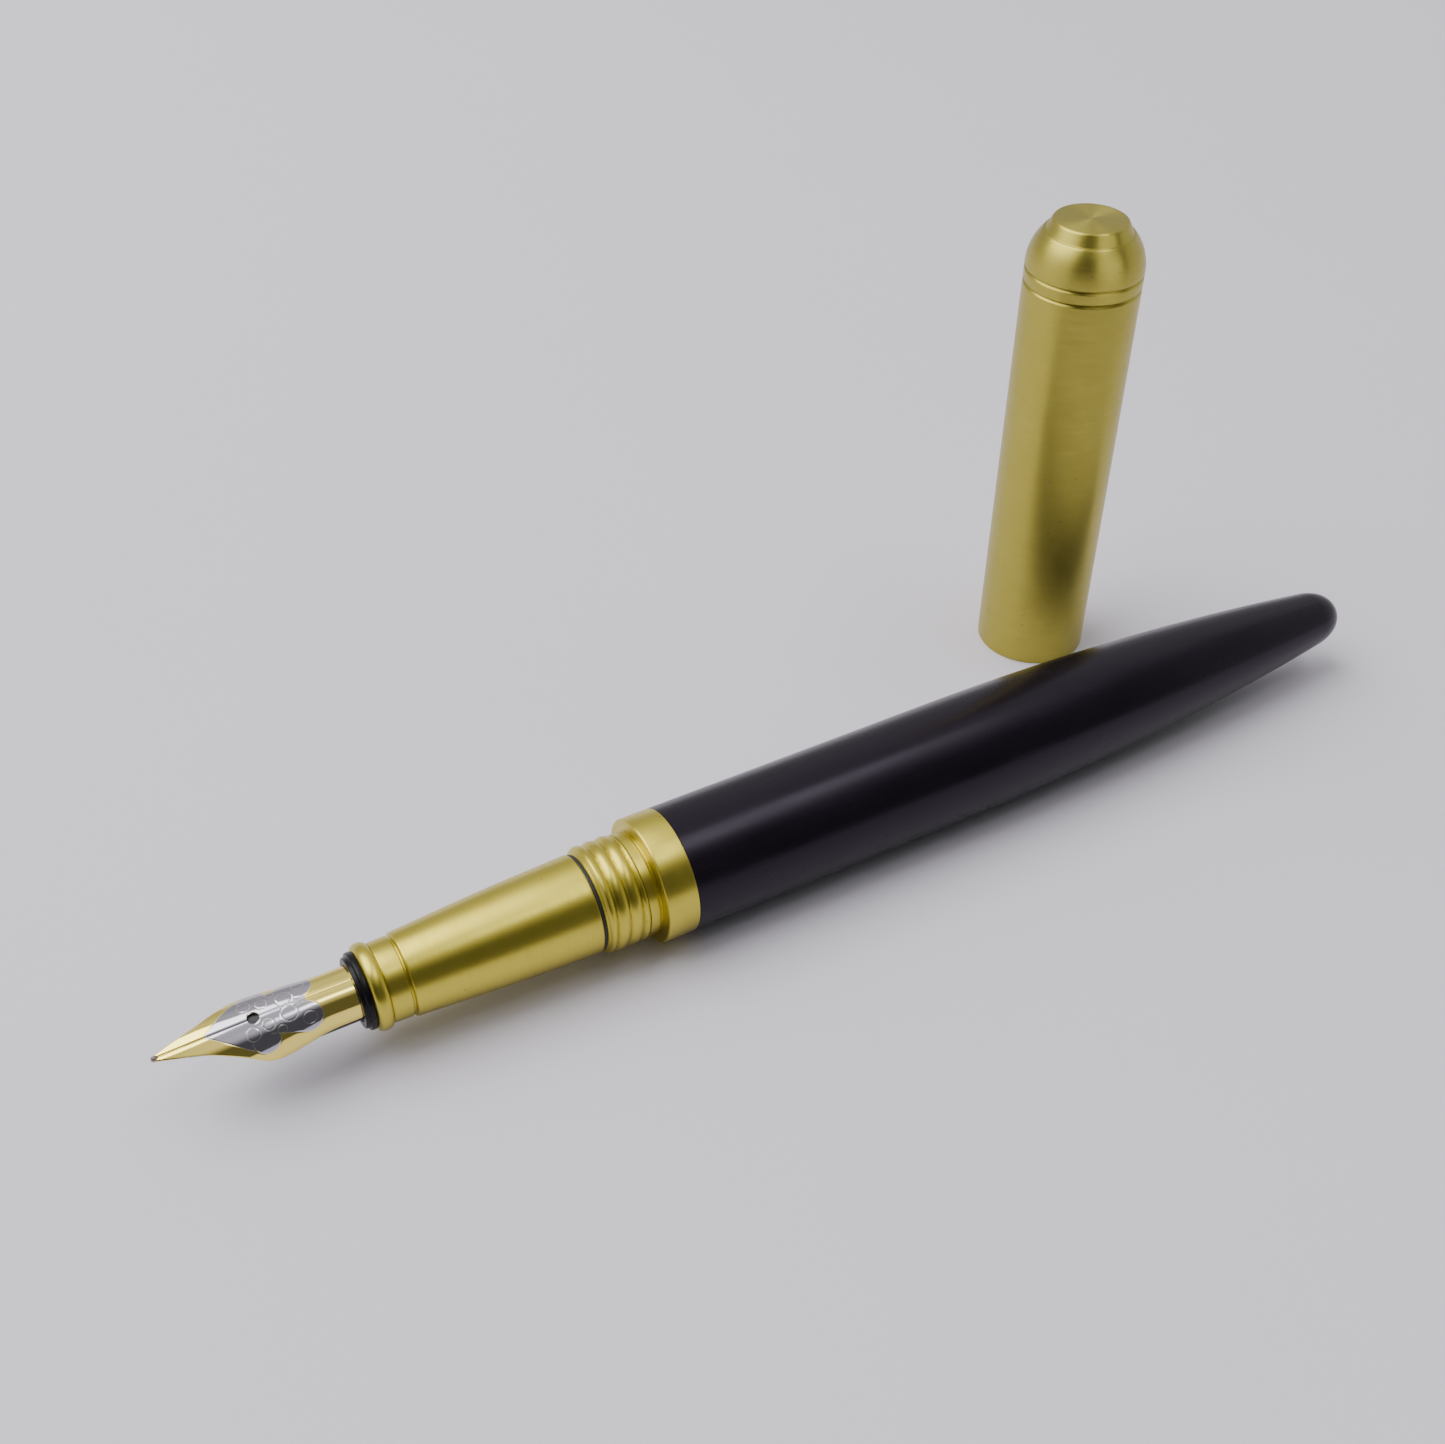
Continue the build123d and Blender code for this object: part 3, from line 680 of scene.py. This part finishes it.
def engraving_at(s, t):
    """Depth of the engraved scroll and border lines, from 0 to 1."""
    t = abs(t)
    corner = (APEX + BORDER_END, FIELD_SLOPE * BORDER_END)
    cuts = [straight_line(s, t, (APEX, 0.0), corner), straight_line(s, t, WAIST_START, WAIST_END)]
    if t > 2.0:
        cuts.append(ring_line(s, t, *SHOULDER))
    if s > LOBE[0] - 0.6:
        cuts.append(ring_line(s, t, *LOBE))
    for scroll in SCROLLS:
        cuts.append(ring_line(s, t, *scroll, half_width=0.05))
    return max(cuts)


def make_nib():
    """The nib as two mirrored half-sheets joined behind the breather hole and slit in front of it."""
    front = np.linspace(NIB_END, NIB_HOLE - NIB_HOLE_R, 120)[:-1]
    round_hole = NIB_HOLE - NIB_HOLE_R * np.cos(np.linspace(0, math.pi, 25))
    back = np.linspace(NIB_HOLE + NIB_HOLE_R, COLLAR_FRONT + 0.4, 130)[1:]
    hidden = np.linspace(COLLAR_FRONT + 0.4, NIB_TAIL, 8)[1:]
    stations = np.concatenate([front, round_hole, back, hidden]).tolist()
    columns = 64
    cut_depth, bevel_depth = 0.022, 0.05
    points, values, faces = [], [], []

    def half_slit(station):
        inner = NIB_SLIT / 2 if station < NIB_HOLE else 0.0
        reach = NIB_HOLE_R**2 - (station - NIB_HOLE) ** 2
        return max(inner, math.sqrt(max(reach, 0.0)))

    def add(station, angle, radius, top, sunk, marks):
        radial = radius - sunk
        centre = top - radius
        local = Vector((0, radial * math.sin(angle), centre + radial * math.cos(angle)))
        points.append(PEN_AXIS + Vector((station, 0, 0)) + NIB_TURN @ local)
        values.append(marks)

    for side in (1, -1):
        base = len(points)
        for station in stations:
            radius, top, wing = nib_form(station)
            start = math.asin(min(half_slit(station) / radius, 0.99))
            for layer in (0, 1):
                for k in range(columns + 1):
                    angle = start + (max(wing, start + 0.01) - start) * k / columns
                    across = radius * angle
                    edge = smooth((across - half_slit(station)) / 0.12)
                    edge *= smooth((radius * wing - across) / 0.10)
                    marks = (silver_at(station, across), engraving_at(station, across) * edge)
                    bevel = bevel_depth * (1 - edge)
                    sunk = marks[1] * cut_depth + bevel if layer == 0 else NIB_THICKNESS
                    add(station, side * angle, radius, top, sunk, marks if layer == 0 else (0.0, 0.0))
        row = 2 * (columns + 1)

        def at(i, layer, k):
            return base + i * row + layer * (columns + 1) + k

        last = len(stations) - 1
        for i in range(last):
            for k in range(columns):
                faces.append((at(i, 0, k), at(i, 0, k + 1), at(i + 1, 0, k + 1), at(i + 1, 0, k)))
                faces.append((at(i, 1, k), at(i + 1, 1, k), at(i + 1, 1, k + 1), at(i, 1, k + 1)))
            rim = (at(i, 0, columns), at(i, 1, columns))
            faces.append(rim + (at(i + 1, 1, columns), at(i + 1, 0, columns)))
            if half_slit(stations[i]) > 0 or half_slit(stations[i + 1]) > 0:
                faces.append((at(i, 0, 0), at(i + 1, 0, 0), at(i + 1, 1, 0), at(i, 1, 0)))
        for i in (0, last):
            for k in range(columns):
                faces.append((at(i, 0, k), at(i, 1, k), at(i, 1, k + 1), at(i, 0, k + 1)))

    mesh = bpy.data.meshes.new("nib_sheet")
    mesh.from_pydata([tuple(p * MM) for p in points], [], faces)
    for name, index in (("silver", 0), ("engraved", 1)):
        layer = mesh.attributes.new(name, "FLOAT", "POINT")
        layer.data.foreach_set("value", [v[index] for v in values])
    cleaned(mesh, NIB_SMOOTH_ANGLE)
    return finished("nib_sheet", mesh, "nib_unit", "nib_two_tone", nib_plate, "nib")


def make_tipping():
    """The hard rounded point, in two halves either side of the slit."""
    centre = TIP_END + TIPPING_R
    height = NIB_FORM[0, 2] - NIB_THICKNESS / 2
    length = 1.35 * TIPPING_R
    points, faces = [], []
    rings, around = 14, 28
    for side in (1, -1):
        base = len(points)
        for i in range(rings + 1):
            polar = math.pi * i / rings
            for k in range(around):
                turn = 2 * math.pi * k / around
                x = centre + (length if polar > math.pi / 2 else TIPPING_R) * -math.cos(polar)
                y = TIPPING_R * math.sin(polar) * math.cos(turn)
                z = TIPPING_R * math.sin(polar) * math.sin(turn)
                y = side * max(side * y, NIB_SLIT / 2)
                points.append(PEN_AXIS + Vector((x, 0, 0)) + NIB_TURN @ Vector((0, y, height + z)))
        for i in range(rings):
            for k in range(around):
                n = (k + 1) % around
                low, high = base + i * around, base + (i + 1) * around
                faces.append((low + k, low + n, high + n, high + k))
    mesh = mesh_from("tipping", points, faces)
    return finished("tipping", mesh, "nib_unit", "nib_tipping", tipping_metal, "nib_tipping")


def make_feed():
    """The black feed: finned underside, rising in a smooth curve to a thin lip under the nib."""
    pitch, gap, fin_count = 0.82, 0.35, 8
    gap_root_r, gap_side = 1.6, -0.45
    tip_half_width, tip_height = 0.8, 1.66
    sweep_start, sweep_length = COLLAR_FRONT - 4.4, 10.5
    under_nib = NIB_TAIL_R - NIB_THICKNESS - 0.04
    stations = set(np.linspace(FEED_END, sweep_start, 40).tolist())
    gaps = []
    for k in range(fin_count):
        end = COLLAR_FRONT - gap - k * pitch
        gaps.append((end - gap, end))
        for edge in (end - gap, end):
            stations.update((edge - 0.03, edge + 0.03))
    stations.update((COLLAR_FRONT, COLLAR_FRONT + 0.1, COLLAR_FRONT + 0.16, FEED_TAIL))
    stations = sorted(stations)
    around = 72
    points, faces = [], []
    for s in stations:
        floor = -FEED_R + smooth((sweep_start - s) / sweep_length) * (FEED_R + tip_height)
        narrow = min(max((NIB_HOLE - s) / (NIB_HOLE - FEED_END), 0.0), 1.0)
        half_width = FEED_R - narrow * (FEED_R - tip_half_width)
        held = s > COLLAR_FRONT + 0.12
        outer = HOUSING_BORE_R - 0.02 if held else FEED_R
        cut = any(low + 0.02 < s < high - 0.02 for low, high in gaps)
        for k in range(around):
            turn = 2 * math.pi * k / around
            y, z = math.sin(turn), math.cos(turn)
            radius = min(outer, under_nib) if z > 0 else outer
            if cut and z < gap_side:
                radius = gap_root_r
            y, z = radius * y, radius * z
            if not held:
                z = max(z, floor)
                y = min(max(y, -half_width), half_width)
                z = min(z, math.sqrt(max(under_nib**2 - y * y, 0.0)))
            points.append(PEN_AXIS + Vector((s, 0, 0)) + NIB_TURN @ Vector((0, y, z)))
    for i in range(len(stations) - 1):
        for k in range(around):
            n = (k + 1) % around
            low, high = i * around, (i + 1) * around
            faces.append((low + k, low + n, high + n, high + k))
    faces.append(tuple(range(around)))
    faces.append(tuple(range((len(stations) - 1) * around, len(stations) * around)))
    mesh = mesh_from("feed_comb", points, faces)
    return finished("feed_comb", mesh, "nib_unit", "feed_plastic", feed_black, "feed")


# ---------------------------------------------------------------- cap
def make_cap_shell():
    """The cap's tube, with a broken edge at the mouth and half a V groove at its top."""
    outline = softened(
        (0.0, CAP_BORE_R, 0.05),
        (0.0, CAP_R, 0.12),
        (GROOVE_LOW - GROOVE_DEPTH, CAP_R, 0.08),
        (GROOVE_LOW, CAP_R - GROOVE_DEPTH),
        (GROOVE_LOW, CAP_SCREW_HOLE_R),
        (GROOVE_LOW - CAP_WEB, CAP_SCREW_HOLE_R),
        (GROOVE_LOW - CAP_WEB, CAP_BORE_R, 0.3),
    )
    mesh = lathe("cap_tube", outline, on_cap, FINE_SEGMENTS)
    return finished("cap_tube", mesh, "cap", "cap_brass", cap_brass, "cap_shell")


def make_cap_ring():
    """The narrow ring between the cap's two grooves."""
    outline = softened(
        (GROOVE_LOW, CAP_SCREW_HOLE_R),
        (GROOVE_LOW, CAP_R - GROOVE_DEPTH),
        (GROOVE_LOW + GROOVE_DEPTH, CAP_R, 0.08),
        (GROOVE_HIGH - GROOVE_DEPTH, CAP_R, 0.08),
        (GROOVE_HIGH, CAP_R - GROOVE_DEPTH),
        (GROOVE_HIGH, CAP_SCREW_HOLE_R),
    )
    mesh = lathe("cap_ring", outline, on_cap, FINE_SEGMENTS)
    return finished("cap_ring", mesh, "cap", "cap_brass", cap_brass, "cap_spacer_ring")


def make_finial():
    """The domed end: arc, bright ledge, conical band and flat top."""
    shoulder = GROOVE_HIGH + GROOVE_DEPTH
    ledge = CAP_TOP - LEDGE_HEIGHT
    dome_end = ledge - 0.1

    def dome(height):
        return CAP_R - DOME_R + math.sqrt(DOME_R**2 - (height - shoulder) ** 2)

    outline = [(GROOVE_HIGH, FINIAL_HOLE_R), (GROOVE_HIGH, CAP_R - GROOVE_DEPTH)]
    outline += [(shoulder - 0.04, CAP_R - 0.04)] + run(shoulder + 0.03, dome_end, 28, dome)
    outline += softened(
        (ledge, dome(ledge), 0.06),
        (ledge + 0.01, LEDGE_R, 0.05),
        (CAP_TOP, CAP_FLAT_R, 0.28),
        (CAP_TOP, 0.0),
        (CAP_TOP - FINIAL_HOLE_DEPTH, 0.0),
        (CAP_TOP - FINIAL_HOLE_DEPTH, FINIAL_HOLE_R),
    )
    mesh = lathe("cap_dome", outline, on_cap, FINE_SEGMENTS)
    return finished("cap_dome", mesh, "cap", "cap_brass", cap_brass, "cap_finial")


for make in (
    make_barrel,
    make_trim_ring,
    make_coupler,
    make_section,
    make_seal,
    make_housing,
    make_nib,
    make_tipping,
    make_feed,
    make_cap_shell,
    make_cap_ring,
    make_finial,
):
    make()

# ---------------------------------------------------------------- carried-over CAD nodes
white_plastic = moulded("white_plastic", colour(0.62, 0.62, 0.60), colour(0.74, 0.74, 0.71), 0.38)
knob_black = moulded("knob_black", colour(0.010, 0.010, 0.011), colour(0.020, 0.019, 0.020), 0.36)
liner_black = moulded("liner_black", colour(0.008, 0.008, 0.008), colour(0.018, 0.018, 0.018), 0.45)
tube_brass = machined("tube_brass", colour(0.60, 0.46, 0.20), colour(0.72, 0.57, 0.28), 0.38, PEN_AXIS, "X")
chrome = machined("converter_chrome", colour(0.62, 0.62, 0.64), colour(0.72, 0.72, 0.74), 0.16, PEN_AXIS, "X")
screw_steel = machined("screw_steel", colour(0.42, 0.41, 0.40), colour(0.56, 0.55, 0.54), 0.34, CAP_AXIS, "Z")
clear_plastic = moulded(
    "clear_plastic",
    colour(0.86, 0.89, 0.90),
    colour(0.94, 0.96, 0.97),
    0.10,
    Transmission_Weight=1.0,
    IOR=1.49,
)

CAD_FINISHES = {
    "barrel_tube": tube_brass,
    "converter_tube": clear_plastic,
    "converter_sleeve": chrome,
    "converter_bush": white_plastic,
    "converter_knob": knob_black,
    "converter_spindle": white_plastic,
    "converter_rod": white_plastic,
    "converter_piston": white_plastic,
    "converter_seals": rubber,
    "cap_liner": liner_black,
    "cap_screw": screw_steel,
}
for node, finish in CAD_FINISHES.items():
    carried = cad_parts[node]
    carried.data.materials.clear()
    carried.data.materials.append(finish)


# ---------------------------------------------------------------- floor, light and camera
# The table top reaches this far from the origin, in metres
TABLE_REACH = 2.0
TABLE_CELLS = 8


def make_floor():
    """A large pale matt table top with the faintest mottling."""
    material, n, shader = new_material("table_top", Specular_IOR_Level=0.25)
    position = n.add("ShaderNodeTexCoord").outputs["Object"]
    mottle = n.noise(position, 18.0, 4.0, 0.6)
    grain = n.noise(position, 900.0, 2.0, 0.6)
    base = n.blend(mottle, colour(0.662, 0.644, 0.700), colour(0.678, 0.659, 0.711))
    n.put(shader.inputs["Base Color"], base)
    n.put(shader.inputs["Roughness"], n.remap(grain, 0.3, 0.7, 0.62, 0.72))
    n.put(shader.inputs["Normal"], n.bump(grain, 0.08, 0.03))
    steps = [2 * TABLE_REACH * i / TABLE_CELLS - TABLE_REACH for i in range(TABLE_CELLS + 1)]
    corners = [(x, y, 0.0) for y in steps for x in steps]
    row = TABLE_CELLS + 1
    faces = []
    for j in range(TABLE_CELLS):
        for i in range(TABLE_CELLS):
            k = j * row + i
            faces.append((k, k + 1, k + row + 1, k + row))
    mesh = bpy.data.meshes.new("table_top")
    mesh.from_pydata(corners, [], faces)
    mesh.materials.append(material)
    table = bpy.data.objects.new("table_top", mesh)
    bpy.context.collection.objects.link(table)


# The camera's place and aim, from the point where the pen's axis leaves the trim ring, in mm
CAMERA_OFFSET = Vector((-55.315, -108.041, 122.67))
AIM_OFFSET = Vector((15.79, 17.24, 0.0))
CAMERA_ROLL = 0.38
CAMERA_LENS = 42.89
SENSOR_WIDTH = 36.0
CLIP_START = 0.005


def make_camera():
    """The camera at the photograph's viewing angle."""
    data = bpy.data.cameras.new("camera")
    data.lens = CAMERA_LENS
    data.sensor_width = SENSOR_WIDTH
    data.clip_start = CLIP_START
    camera = bpy.data.objects.new("camera", data)
    bpy.context.collection.objects.link(camera)
    place = (PEN_AXIS + CAMERA_OFFSET) * MM
    aim = (PEN_AXIS + AIM_OFFSET) * MM
    look = (aim - place).to_track_quat("-Z", "Y").to_matrix().to_4x4()
    roll = Matrix.Rotation(math.radians(CAMERA_ROLL), 4, "Z")
    camera.matrix_world = Matrix.Translation(place) @ look @ roll
    bpy.context.scene.camera = camera


# The room that lights and is mirrored in the pen, by elevation and azimuth in degrees: a dark
# front wall under a brighter ceiling, a lighter back wall, plain side walls, a lamp high on the
# right, and the dark figure of a person in front of the cap. Each pair is where a change starts
# and where it is complete: in degrees, or for FRONT_TO_BACK, LEFT_EDGE and RIGHT_EDGE as the
# part of a direction along Y, -X or X. The camera itself sees an even backdrop.
FRONT_WALL, FRONT_CEILING, FRONT_EDGE = 0.08, 0.56, (42, 64)
BACK_WALL, BACK_CORNICE, BACK_EDGE = 0.40, 0.16, (20, 38)
BACK_CEILING, BACK_CEILING_EDGE = 0.26, (60, 78)
FRONT_TO_BACK = (-0.15, 0.25)
SIDE_WALL, LEFT_EDGE, RIGHT_EDGE = 0.50, (0.35, 0.8), (0.55, 0.9)
LAMP_AZIMUTH, LAMP_WIDTH = -32.0, (34, 50)
LAMP_LEVEL, LAMP_FOOT, LAMP_HEAD = 3.3, (60, 65), (68, 75)
PERSON_AZIMUTH, PERSON_WIDTH = -136.0, (16, 27)
PERSON_SHADE, PERSON_HEAD = -0.97, (68, 86)
ROOM_TINT = colour(1.0, 0.985, 1.0)
ROOM_LEVEL = 1.47
BACKDROP = 0.62


def make_room():
    """The world's light, from the constants above."""
    world = bpy.data.worlds.new("room")
    world.use_nodes = True
    bpy.context.scene.world = world
    n = Nodes(world.node_tree)
    direction = n.add("ShaderNodeTexCoord").outputs["Generated"]
    x, y, z = n.add("ShaderNodeSeparateXYZ", {0: direction}).outputs
    elevation = n.math("DEGREES", n.math("ARCSINE", z))
    azimuth = n.math("DEGREES", n.math("ARCTAN2", y, x))

    def rise(value, low, high):
        inputs = {"Value": value, 1: low, 2: high, 3: 0.0, 4: 1.0}
        return n.add("ShaderNodeMapRange", inputs, interpolation_type="SMOOTHSTEP").outputs["Result"]

    def drop(value, low, high):
        return n.math("SUBTRACT", 1.0, rise(value, low, high))

    def both(a, b):
        return n.math("MULTIPLY", a, b)

    def within(azimuth_middle, full, none):
        return drop(n.math("ABSOLUTE", n.math("SUBTRACT", azimuth, azimuth_middle)), full, none)

    front = n.math("MULTIPLY_ADD", rise(elevation, *FRONT_EDGE), FRONT_CEILING, FRONT_WALL)
    back = n.math("MULTIPLY_ADD", rise(elevation, *BACK_EDGE), BACK_CORNICE, BACK_WALL)
    back = n.math("MULTIPLY_ADD", rise(elevation, *BACK_CEILING_EDGE), BACK_CEILING, back)
    room = n.blend(rise(y, *FRONT_TO_BACK), front, back)
    lamp_height = both(rise(elevation, *LAMP_FOOT), drop(elevation, *LAMP_HEAD))
    lamp = both(lamp_height, within(LAMP_AZIMUTH, *LAMP_WIDTH))
    room = n.math("MULTIPLY_ADD", lamp, LAMP_LEVEL, room)
    left = both(rise(n.math("MULTIPLY", x, -1.0), *LEFT_EDGE), SIDE_WALL)
    right = both(rise(x, *RIGHT_EDGE), SIDE_WALL)
    room = n.math("MAXIMUM", room, n.math("MAXIMUM", left, right))
    person = both(within(PERSON_AZIMUTH, *PERSON_WIDTH), drop(elevation, *PERSON_HEAD))
    room = both(room, n.math("MULTIPLY_ADD", person, PERSON_SHADE, 1.0))
    background = n.nodes["Background"]
    n.put(background.inputs["Color"], ROOM_TINT)
    seen = n.add("ShaderNodeLightPath").outputs["Is Camera Ray"]
    backdrop = both(seen, n.math("SUBTRACT", BACKDROP, both(room, ROOM_LEVEL)))
    n.put(background.inputs["Strength"], n.math("ADD", both(room, ROOM_LEVEL), backdrop))


SOFTBOX_TINT = (1.0, 0.98, 1.0)


def add_softbox(name, place, aim, size, watts, only=()):
    """A round soft light, in metres and watts; only names the pieces it lights, if not all."""
    data = bpy.data.lights.new(name, "AREA")
    data.shape = "DISK"
    data.size = size
    data.energy = watts
    data.color = SOFTBOX_TINT
    light = bpy.data.objects.new(name, data)
    bpy.context.collection.objects.link(light)
    look = (Vector(aim) - Vector(place)).to_track_quat("-Z", "Y").to_matrix().to_4x4()
    light.matrix_world = Matrix.Translation(place) @ look
    if only:
        lit = bpy.data.collections.new(name + "_lit")
        for piece in only:
            lit.objects.link(bpy.data.objects[piece])
        light.light_linking.receiver_collection = lit


make_floor()
make_camera()
make_room()
add_softbox("key", place=(-0.42, 0.36, 0.95), aim=(0, 0, 0), size=1.1, watts=14.0)
add_softbox(
    "dome_glow",
    place=(0.135, -0.42, 0.22),
    aim=CAP_AXIS * MM,
    size=0.46,
    watts=0.6,
    only=("cap_dome", "cap_ring"),
)
